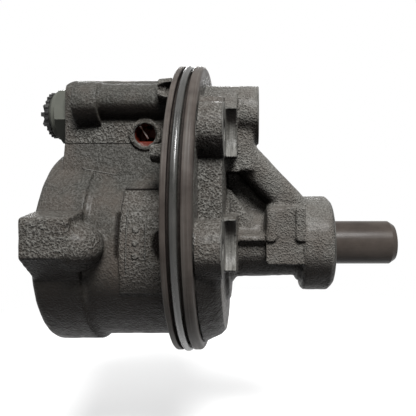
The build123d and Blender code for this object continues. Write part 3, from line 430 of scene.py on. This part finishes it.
def put_points(mesh, points):
    mesh.vertices.foreach_set("co", points.astype(np.float32).ravel())
    mesh.update()


def put_mask(mesh, name, values):
    layer = mesh.attributes.new(name, "FLOAT", "POINT")
    layer.data.foreach_set("value", np.clip(values, 0, 1).astype(np.float32))


def ease(values, low, high):
    """Smooth step from 0 at low to 1 at high."""
    t = np.clip((values - low) / (high - low), 0, 1)
    return t * t * (3 - 2 * t)


def ridge(distance, width):
    """Rounded ridge of height 1 that fades out at a distance of one width."""
    return np.clip(1 - (distance / width) ** 2, 0, 1) ** 2


def lathe(name, profile, middle, segments):
    """Closed ring turned round an axis along X through middle, from (x, radius) points."""
    mesh = bpy.data.meshes.new(name)
    build = bmesh.new()
    loops = []
    for step in range(segments):
        angle = tau * step / segments
        loop = [
            build.verts.new((x, middle.y + r * cos(angle), middle.z + r * sin(angle)))
            for x, r in profile
        ]
        loops.append(loop)
    count = len(profile)
    for step, here in enumerate(loops):
        ahead = loops[(step + 1) % segments]
        for i in range(count):
            j = (i + 1) % count
            build.faces.new((here[i], here[j], ahead[j], ahead[i]))
    bmesh.ops.recalc_face_normals(build, faces=build.faces)
    build.to_mesh(mesh)
    build.free()
    return link(name, mesh)


def rod(name, path, radius, sides=10):
    """Round wire along a path of points."""
    build = bmesh.new()
    rings = []
    for i, here in enumerate(path):
        ahead = path[min(i + 1, len(path) - 1)] - path[max(i - 1, 0)]
        across = ahead.orthogonal().normalized()
        beside = ahead.cross(across).normalized()
        turns = [tau * k / sides for k in range(sides)]
        spots = [here + (across * cos(t) + beside * sin(t)) * radius for t in turns]
        rings.append([build.verts.new(spot) for spot in spots])
    for first, second in zip(rings, rings[1:]):
        for k in range(sides):
            m = (k + 1) % sides
            build.faces.new((first[k], first[m], second[m], second[k]))
    build.faces.new(rings[0][::-1])
    build.faces.new(rings[-1])
    mesh = bpy.data.meshes.new(name)
    bmesh.ops.recalc_face_normals(build, faces=build.faces)
    build.to_mesh(mesh)
    build.free()
    return link(name, mesh)


# ------------------------------------------------------------------ settings
def length(name, description, default):
    return FloatProperty(
        name=name, description=description, default=default, unit="LENGTH", precision=5
    )


def colour(name, description, red, green, blue):
    default = (red, green, blue, 1.0)
    return FloatVectorProperty(
        name=name, description=description, default=default, size=4, subtype="COLOR"
    )


class PumpSizes(bpy.types.PropertyGroup):
    """Sizes of the casting's skin and of the turned rims."""

    grid: length("Skin grid", "Spacing of the casting's skin mesh", 0.00042)
    rounds: IntProperty(name="Rounds", description="Passes that round the cast corners", default=5, min=0)
    blends: IntProperty(name="Blends", description="Passes that blend the roots of ribs", default=90, min=0)
    wave: length("Cast wave", "Height of the casting's long unevenness", 0.00016)
    wave_length: length("Wave length", "Spacing of the long unevenness", 0.006)
    crumb: length("Crumb", "Height of the casting's short unevenness", 0.0001)
    crumb_length: length("Crumb length", "Spacing of the short unevenness", 0.0022)
    rim_radius: length("Rim radius", "Radius of the flange's turned edge", 0.0609)
    rim_rear: length("Rim rear", "Rear face of the flange", -0.0198)
    rim_front: length("Rim front", "Front face of the flange", -0.0093)
    groove_rear: length("Groove rear", "Rear wall of the seal groove", -0.01775)
    groove_front: length("Groove front", "Front wall of the seal groove", -0.01295)
    groove_depth: length("Groove depth", "Depth of the seal groove", 0.0024)
    rim_inside: length("Rim inside", "Inner radius of the turned rims", 0.0566)


class PumpLook(bpy.types.PropertyGroup):
    """Colours of the pump's finishes and the level of its lamps."""

    iron_dark: colour("Iron dark", "Pits of the cast skin", 0.022, 0.021, 0.018)
    iron_mid: colour("Iron", "Cast skin", 0.050, 0.048, 0.0435)
    iron_light: colour("Iron light", "Crests of the cast skin", 0.092, 0.09, 0.083)
    iron_smooth: colour("Iron smooth", "Smooth cast walls", 0.014, 0.0137, 0.012)
    # painted light on the nose end
    iron_painted_light: colour("Iron painted light", "Painted light on the nose end", 0.105, 0.102, 0.094)
    iron_brown: colour("Iron brown", "Brown tint of old oil", 0.045, 0.037, 0.031)
    # colour of the painted shade on undersides, in corners and in the seal groove
    iron_painted_shade: colour("Iron soot", "Painted shade on undersides and in corners", 0.004, 0.003, 0.0025)
    oil_red: colour("Oil red", "Red oil in the port", 0.045, 0.007, 0.004)
    cut_dark: colour("Cut dark", "Dark streaks of machined faces", 0.030, 0.029, 0.026)
    cut_light: colour("Cut light", "Light streaks of machined faces", 0.085, 0.083, 0.077)
    rim_dark: colour("Rim dark", "Dark of the turned rims", 0.020, 0.0165, 0.0145)
    rim_light: colour("Rim light", "Light of the turned rims", 0.042, 0.036, 0.032)
    rubber_dark: colour("Rubber dark", "Dark of the seals", 0.008, 0.008, 0.007)
    rubber_light: colour("Rubber light", "Oily film on the seals", 0.025, 0.024, 0.022)
    plastic_dark: colour("Plastic dark", "Dark of the plug", 0.008, 0.008, 0.008)
    plastic_light: colour("Plastic light", "Worn edges of the plug", 0.03, 0.03, 0.028)
    lamps: FloatProperty(name="Lamps", description="Level of the lamps", default=1.0, min=0.0)
    room: FloatProperty(name="Room", description="Level of the room's light", default=0.05, min=0.0)


# ------------------------------------------------------------------ operators
class PUMP_OT_casting(bpy.types.Operator):
    """Make the sand-cast housing with its rounded, uneven skin"""

    bl_idname = "pump.casting"
    bl_label = "Housing Casting"

    def execute(self, context):
        sizes = context.scene.pump_sizes
        look = context.scene.pump_look
        casting = link("housing_casting", self.joined())
        skin = casting.modifiers.new("skin", "REMESH")
        skin.mode = "VOXEL"
        skin.voxel_size = sizes.grid * 1.0
        mesh = bake_modifiers(casting)

        where = points_of(mesh)
        cut = self.machined(where / MM)
        group = casting.vertex_groups.new(name="cast")
        group.add(np.flatnonzero(cut < 0.5).tolist(), 1.0, "REPLACE")
        rounding = casting.modifiers.new("rounding", "SMOOTH")
        rounding.vertex_group = "cast"
        rounding.factor = 0.5
        rounding.iterations = sizes.rounds
        roots = casting.vertex_groups.new(name="roots")
        roots.add(np.flatnonzero(self.roots(where / MM) & (cut < 0.5)).tolist(), 1.0, "REPLACE")
        blending = casting.modifiers.new("blending", "SMOOTH")
        blending.vertex_group = "roots"
        blending.factor = 0.6
        blending.iterations = sizes.blends
        mesh = bake_modifiers(casting)
        casting.vertex_groups.clear()

        where = points_of(mesh)
        outward = normals_of(mesh)
        heights = self.unevenness(where, sizes) * (1 - cut)
        heights += self.features(where / MM) * MM
        where += outward * heights[:, None]
        where = self.tuck_rim(where, sizes)
        put_points(mesh, where)

        spots = where / MM
        put_mask(mesh, "cut", cut)
        put_mask(mesh, "sand", self.sand(spots))
        put_mask(mesh, "port", self.port(spots))
        # painted shade mask for the undersides and corners
        put_mask(mesh, "soot", self.soot(spots, outward))
        coat(casting, cast_iron(look))
        settle(casting, "housing", "pump_body")
        return {"FINISHED"}

    def joined(self):
        """The housing's mesh together with the flared web below its valve block."""
        build = bmesh.new()
        build.from_mesh(frame["nodes"]["housing"].data)
        rear, front = (
            [build.verts.new((x * MM, y * MM, z * MM)) for y, z in WEB_OUTLINE]
            for x in WEB_ENDS_X
        )
        build.faces.new(rear[::-1])
        build.faces.new(front)
        for i in range(len(WEB_OUTLINE)):
            j = (i + 1) % len(WEB_OUTLINE)
            build.faces.new((rear[i], rear[j], front[j], front[i]))
        mesh = bpy.data.meshes.new("housing_casting")
        build.to_mesh(mesh)
        build.free()
        return mesh

    def machined(self, p):
        """1 on the faces, bores and rims that are machined, 0 on the cast skin."""
        x, y, z = p.T
        seal = node_middle("flange_seal") / MM
        from_flange = np.hypot(y - seal.y, z - seal.z)
        cut = ((from_flange > 57.3) & (x > -20.4) & (x < -8.9)).astype(float)
        for name in ("front_hole_1", "front_hole_2", "front_hole_3"):
            hole = mount_place(name) / MM
            away = np.hypot(y - hole.y, z - hole.z)
            cut = np.maximum(cut, ((away < 12.5) & (x > -0.35)) | ((away < 4.6) & (x > -19)))
        valve = node_middle("flow_control_spool") / MM
        off_valve = np.hypot(y - valve.y, z - valve.z)
        cut = np.maximum(cut, (off_valve < 13.0) & (x > 12.2))
        cut = np.maximum(cut, (off_valve < 11.4) & (x < -30))
        off_shaft = np.hypot(y, z)
        cut = np.maximum(cut, (off_shaft < 21.0) & (x > 44.2))
        cut = np.maximum(cut, (off_shaft < 36.2) & (x < -17))
        cut = np.maximum(cut, (off_shaft < 11.2) & (x > -17))
        for name in ("rear_stud_hole_near", "rear_stud_hole_far"):
            hole = mount_place(name) / MM
            away = np.hypot(y - hole.y, z - hole.z)
            cut = np.maximum(cut, (away < 7.0) & (x < -68.6) | (away < 4.6) & (x < -48.5))
        port = mount_place("inlet_port") / MM
        return np.maximum(cut, (np.hypot(x - port.x, z - port.z) < 4.8) & (y < -9)).astype(float)

    def unevenness(self, where, sizes):
        """Height of the cast skin's long and short unevenness."""
        long_way = where / sizes.wave_length
        short_way = where / sizes.crumb_length
        sand = 0.35 + 0.65 * self.sand(where / MM)
        long_wave = np.array([noise.noise(spot) for spot in long_way])
        short_wave = np.array([noise.noise(spot) for spot in short_way])
        return long_wave * sizes.wave + short_wave * sizes.crumb * sand

    def roots(self, p):
        """Where ribs and bosses run into the walls in long blends."""
        x, y, z = p.T
        front = (x > 4.8) & (x < 24) & (z > 4) & (z < 50) & (y < -2) & (y > -24)
        dome = (np.hypot(x + 50, z - 4.5) < 9) & (np.abs(y) > 38) & (x > -53)
        return front | dome

    def features(self, p):
        """Parting line, groove beside the pad and scallop behind the flange, in millimetres."""
        x, y, z = p.T
        off_shaft = np.hypot(y, z)
        near = (y < 0) & (off_shaft > 37) & (off_shaft < 42.5) & (x < -20)
        wobble = np.array([noise.noise((spot * 0.35, 0.0, 3.0)) for spot in z]) * 0.9
        height = -0.45 * near * ridge(np.abs(x - PARTING_LINE_X + wobble), 0.9) * (off_shaft < 41.6)
        height -= 0.9 * near * self.pad_groove(p, 1.3)
        height -= 1.2 * near * self.scallop(p, 1.2)
        return height

    def pad_groove(self, p, width):
        """1 along the middle of the groove beside the pad, 0 a width away."""
        x, _, z = p.T
        along = ease(z, -2.5, 0.5) * (1 - ease(z, 14.5, 17.0))
        return along * ridge(np.abs(x - PAD_GROOVE_X), width)

    def scallop(self, p, soft):
        """1 in the scallop behind the flange, 0 beyond its soft edge."""
        x, _, z = p.T
        away = np.hypot(x - SCALLOP_MIDDLE[0], z - SCALLOP_MIDDLE[1])
        return 1 - ease(away, SCALLOP_R, SCALLOP_R + soft)

    def tuck_rim(self, where, sizes):
        """Draw the flange's edge in a little so that the turned rims cover it."""
        seal = node_middle("flange_seal")
        middle = np.array((seal.y, seal.z))
        spoke = where[:, 1:] - middle
        radius = np.hypot(*spoke.T)
        x = where[:, 0]
        reach = sizes.rim_inside + 0.5 * MM
        edge = (radius > reach) & (x > sizes.rim_rear - 0.6 * MM)
        edge &= x < sizes.rim_front + 0.15 * MM
        limit = np.minimum(radius, reach)
        where[edge, 1:] = middle + spoke[edge] * (limit / radius)[edge, None]
        where[edge, 0] = np.clip(x[edge], sizes.rim_rear + 0.4 * MM, sizes.rim_front - 0.4 * MM)
        return where

    def sand(self, p):
        """1 where the sand has left a strong grain, less on the smoother body, tube and web."""
        x, y, z = p.T
        pad = (x > -38.8) & (z < 24.8) & (z > -14.8) & (y < 0)
        body = (np.hypot(y, z) < 42) & (x < -20) & ~pad
        tube = (np.hypot(y + 22, z - 59.6) < 10.5) & (x < -20) & (z > 51)
        web = (z > 26) & (z < 43) & (y < -8) & (np.hypot(y, z) < 50) & (x < -20)
        return np.where(body | tube | web, 0.15, 1.0)

    def port(self, p):
        """1 on the oily walls inside the inlet port."""
        x, y, z = p.T
        port = mount_place("inlet_port") / MM
        reach = np.hypot(x - port.x, z - port.z)
        return (reach < 4.75) * ease(y, -24.6, -23.2) * (y < -2)

    def soot(self, p, outward):
        """1 on the undersides and in the corners: painted shade where shade falls."""
        x, y, _ = p.T
        below = ease(-outward[:, 2], 0.03, 0.45) * 0.93
        scallop = self.scallop(p, 1.6) * (y < -30) * (x < -19.9)
        groove = self.pad_groove(p, 1.2) * (y < -30)
        return np.maximum(below, np.maximum(scallop, groove))


class PUMP_OT_rims(bpy.types.Operator):
    """Turn the two rims of the flange and the groove between them"""

    bl_idname = "pump.rims"
    bl_label = "Flange Rims"

    def execute(self, context):
        sizes = context.scene.pump_sizes
        middle = node_middle("flange_seal")
        top = sizes.rim_radius
        floor = top - sizes.groove_depth
        edge = 0.25 * MM
        profile = [
            (sizes.rim_rear, sizes.rim_inside),
            (sizes.rim_rear, top - 0.5 * MM),
            (sizes.rim_rear + 0.15 * MM, top - 0.15 * MM),
            (sizes.rim_rear + 0.5 * MM, top),
            (sizes.groove_rear - edge, top),
            (sizes.groove_rear, top - edge),
            (sizes.groove_rear, floor),
            (sizes.groove_front, floor),
            (sizes.groove_front, top - edge),
            (sizes.groove_front + edge, top),
        ]
        bend = 1.6 * MM
        steps = 6
        for step in range(steps + 1):
            angle = pi / 2 * step / steps
            x = sizes.rim_front - bend + bend * sin(angle)
            profile.append((x, top - bend + bend * cos(angle)))
        profile.append((sizes.rim_front, sizes.rim_inside))
        rims = lathe("flange_rims", profile, middle, 260)
        bevel = rims.modifiers.new("edges", "BEVEL")
        bevel.width = 0.08 * MM
        bevel.limit_method = "ANGLE"
        bake_modifiers(rims)
        look = context.scene.pump_look
        coat(rims, turned_iron(look), smooth=False)
        # the groove's faces take the painted shade
        rims.data.materials.append(groove_painted_shade(look))
        for face in rims.data.polygons:
            spoke = (face.center - middle).yz.length
            inside = sizes.groove_rear - MM / 50 < face.center.x < sizes.groove_front + MM / 50
            face.material_index = int(inside and spoke < top - edge / 2)
        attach(rims, "pump_body")
        return {"FINISHED"}


class PUMP_OT_rubbers(bpy.types.Operator):
    """Give the seals their oiled rubber"""

    bl_idname = "pump.rubbers"
    bl_label = "Seals"

    def execute(self, context):
        rubber = seal_rubber(context.scene.pump_look)
        for place in ("flange", "end_plate", "pressure_plate", "shaft", "union"):
            dress(f"{place}_seal", rubber)
        return {"FINISHED"}


class PUMP_OT_steels(bpy.types.Operator):
    """Give the shaft, the pumping group and the valve their steels"""

    bl_idname = "pump.steels"
    bl_label = "Steels"

    def execute(self, context):
        shaft = steel(
            "oiled_shaft_steel", (0.019, 0.0155, 0.0135, 1), (0.036, 0.030, 0.026, 1), 0.28, 0.0
        )
        ground = steel("ground_steel", (0.3, 0.29, 0.28, 1), (0.45, 0.44, 0.42, 1), 0.25, 0.9)
        plate = steel("rolled_plate", (0.2, 0.195, 0.185, 1), (0.32, 0.31, 0.3, 1), 0.38, 0.8)
        bronze = steel("bearing_bronze", (0.4, 0.26, 0.1, 1), (0.55, 0.38, 0.16, 1), 0.35, 0.9)
        finishes = {
            "ground_steel": ground,
            "machined_steel": ground,
            "plate_steel": plate,
            "bearing_bronze": bronze,
        }
        for part in frame["record"]["subparts"]:
            finish = finishes.get(part["material_slot"])
            if finish:
                dress(part["node"], finish)
        dress("drive_shaft", shaft)
        return {"FINISHED"}


class PUMP_OT_springs(bpy.types.Operator):
    """Give the two springs wire coils that ride on their joints' parent bodies"""

    bl_idname = "pump.springs"
    bl_label = "Springs"

    def execute(self, context):
        wire = steel("spring_wire", (0.4, 0.39, 0.37, 1), (0.6, 0.59, 0.57, 1), 0.25, 0.7)
        for joint in frame["record"]["behaviour"]["joints"]:
            for spring in joint.get("deforming_nodes", ()):
                self.coil(joint, spring, wire)
        return {"FINISHED"}

    def coil(self, joint, spring, wire):
        node = spring["node"]
        coil = link(node.replace("spring", "coil"), frame["nodes"][node].data.copy())
        coat(coil, wire)
        settle(coil, node, joint["parent"])
        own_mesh(coil)


class PUMP_OT_port_wire(bpy.types.Operator):
    """Bend the thin wire that shows in the mouth of the inlet port"""

    bl_idname = "pump.port_wire"
    bl_label = "Port Wire"

    def execute(self, context):
        port = mount_place("inlet_port")
        bends = (
            (-2.6, -3.2, 4.1),
            (-2.2, -1.6, 3.0),
            (-1.5, -0.2, 1.6),
            (-0.7, 0.8, 0.2),
            (-0.1, 1.3, -1.2),
        )
        path = [port + Vector(bend) * MM for bend in bends]
        wire = rod("port_wire", path, 0.36 * MM)
        coat(wire, steel("bright_wire", (0.5, 0.46, 0.43, 1), (0.7, 0.66, 0.62, 1), 0.3, 0.2))
        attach(wire, "pump_body")
        return {"FINISHED"}


class PUMP_OT_outlet(bpy.types.Operator):
    """Give the outlet union its phosphate coat and the plug its black plastic"""

    bl_idname = "pump.outlet"
    bl_label = "Outlet Union and Plug"

    def execute(self, context):
        coated = steel(
            "phosphated_steel", (0.038, 0.0395, 0.034, 1), (0.052, 0.0535, 0.046, 1), 0.45, 0.0
        )
        dress("outlet_union", coated)
        dress("outlet_plug", moulded_plastic(context.scene.pump_look))
        return {"FINISHED"}


class PUMP_OT_stage(bpy.types.Operator):
    """Set the floor, the room, the lamps and the camera"""

    bl_idname = "pump.stage"
    bl_label = "Stage"

    def execute(self, context):
        scene = context.scene
        low, high = Vector(CAD_BOX[0]), Vector(CAD_BOX[1])
        self.floor(low.z - 0.07)
        self.room(scene)
        self.lamps(scene, (low + high) / 2)
        self.camera(scene)
        scene.view_settings.view_transform = "Standard"
        return {"FINISHED"}

    def seen(self, g):
        """1 for the rays that show the backdrop."""
        rays = [
            g.add("ShaderNodeLightPath", output=name)
            for name in ("Is Camera Ray", "Is Glossy Ray", "Is Transmission Ray")
        ]
        return g.spread(rays[0] + rays[1] + rays[2], 0.0, 1.0)

    def floor(self, level):
        reach = 4.0
        build = bmesh.new()
        bmesh.ops.create_grid(build, x_segments=24, y_segments=24, size=reach)
        for vertex in build.verts:
            vertex.co.z = level
        mesh = bpy.data.meshes.new("floor")
        build.to_mesh(mesh)
        build.free()
        floor = link("floor", mesh)
        g = new_finish("pale_floor")
        away = g.add("ShaderNodeVectorMath", {"operation": "LENGTH"}, {0: g.place()}, "Value")
        glow = g.add("ShaderNodeEmission", inputs={"Color": (1, 1, 1, 1), "Strength": 1.0})
        seen = self.seen(g)
        tone = g.blend(seen, (0.05, 0.05, 0.05, 1), (0.8, 0.8, 0.8, 1))
        paint = g.add("ShaderNodeBsdfDiffuse", inputs={"Color": tone})
        share = seen * g.spread(away, 0.1, 0.4, 0.0, 1.0)
        surface = g.add("ShaderNodeMixShader", inputs={0: share, 1: paint, 2: glow})
        g.add("ShaderNodeOutputMaterial", inputs={"Surface": surface})
        mesh.materials.append(g.owner)

    def room(self, scene):
        scene.world = bpy.data.worlds.new("studio")
        g = Graph(scene.world)
        strength = scene.pump_look.room
        dim = g.add("ShaderNodeBackground", inputs={"Color": (0.95, 0.97, 1, 1), "Strength": strength})
        white = g.add("ShaderNodeBackground", inputs={"Color": (1, 1, 1, 1), "Strength": 1.0})
        both = g.add("ShaderNodeMixShader", inputs={0: self.seen(g), 1: dim, 2: white})
        g.add("ShaderNodeOutputWorld", inputs={"Surface": both})

    def lamps(self, scene, middle):
        level = scene.pump_look.lamps
        for name, offset, size, power in (
            ("key", (0.12, -0.46, 0.48), 0.24, 15.5),
            ("right", (0.6, -0.1, 0.5), 0.3, 1.5),
            ("left", (-0.6, -0.1, 0.5), 0.3, 1.5),
            ("rear", (-0.15, 0.6, 0.16), 0.35, 5.0),
        ):
            light = bpy.data.lights.new(name, "AREA")
            light.shape = "SQUARE"
            light.size = size
            light.energy = power * level
            lamp = bpy.data.objects.new(name, light)
            scene.collection.objects.link(lamp)
            lamp.location = middle + Vector(offset)
            lamp.rotation_euler = (-Vector(offset)).to_track_quat("-Z", "Y").to_euler()

    def camera(self, scene):
        lens = bpy.data.cameras.new("camera")
        camera = bpy.data.objects.new("camera", lens)
        scene.collection.objects.link(camera)
        scene.camera = camera
        camera.location = (0.0095, -0.205, 0.0289)
        camera.rotation_euler = (pi / 2, 0, 0)
        lens.lens = 39.3
        lens.sensor_width = 36.0
        lens.shift_x = -0.1022
        lens.shift_y = -0.0718
        lens.clip_start = 0.01


class PUMP_PT_finish(bpy.types.Panel):
    """Buttons and settings of the pump's finish"""

    bl_idname = "PUMP_PT_finish"
    bl_label = "Vane Pump"
    bl_space_type = "VIEW_3D"
    bl_region_type = "UI"
    bl_category = "Vane Pump"

    def draw(self, context):
        layout = self.layout
        for step in STEPS:
            layout.operator(step.bl_idname)
        for settings in (context.scene.pump_sizes, context.scene.pump_look):
            for name in type(settings).__annotations__:
                layout.prop(settings, name)


STEPS = (
    PUMP_OT_casting,
    PUMP_OT_rims,
    PUMP_OT_rubbers,
    PUMP_OT_steels,
    PUMP_OT_springs,
    PUMP_OT_port_wire,
    PUMP_OT_outlet,
    PUMP_OT_stage,
)
CLASSES = (PumpSizes, PumpLook, *STEPS, PUMP_PT_finish)


def register():
    for item in CLASSES:
        bpy.utils.register_class(item)
    bpy.types.Scene.pump_sizes = PointerProperty(type=PumpSizes)
    bpy.types.Scene.pump_look = PointerProperty(type=PumpLook)


def unregister():
    del bpy.types.Scene.pump_look
    del bpy.types.Scene.pump_sizes
    for item in reversed(CLASSES):
        bpy.utils.unregister_class(item)


def main():
    register()
    bpy.ops.pump.casting()
    bpy.ops.pump.rims()
    bpy.ops.pump.rubbers()
    bpy.ops.pump.steels()
    bpy.ops.pump.springs()
    bpy.ops.pump.port_wire()
    bpy.ops.pump.outlet()
    bpy.ops.pump.stage()


if __name__ == "__main__":
    main()
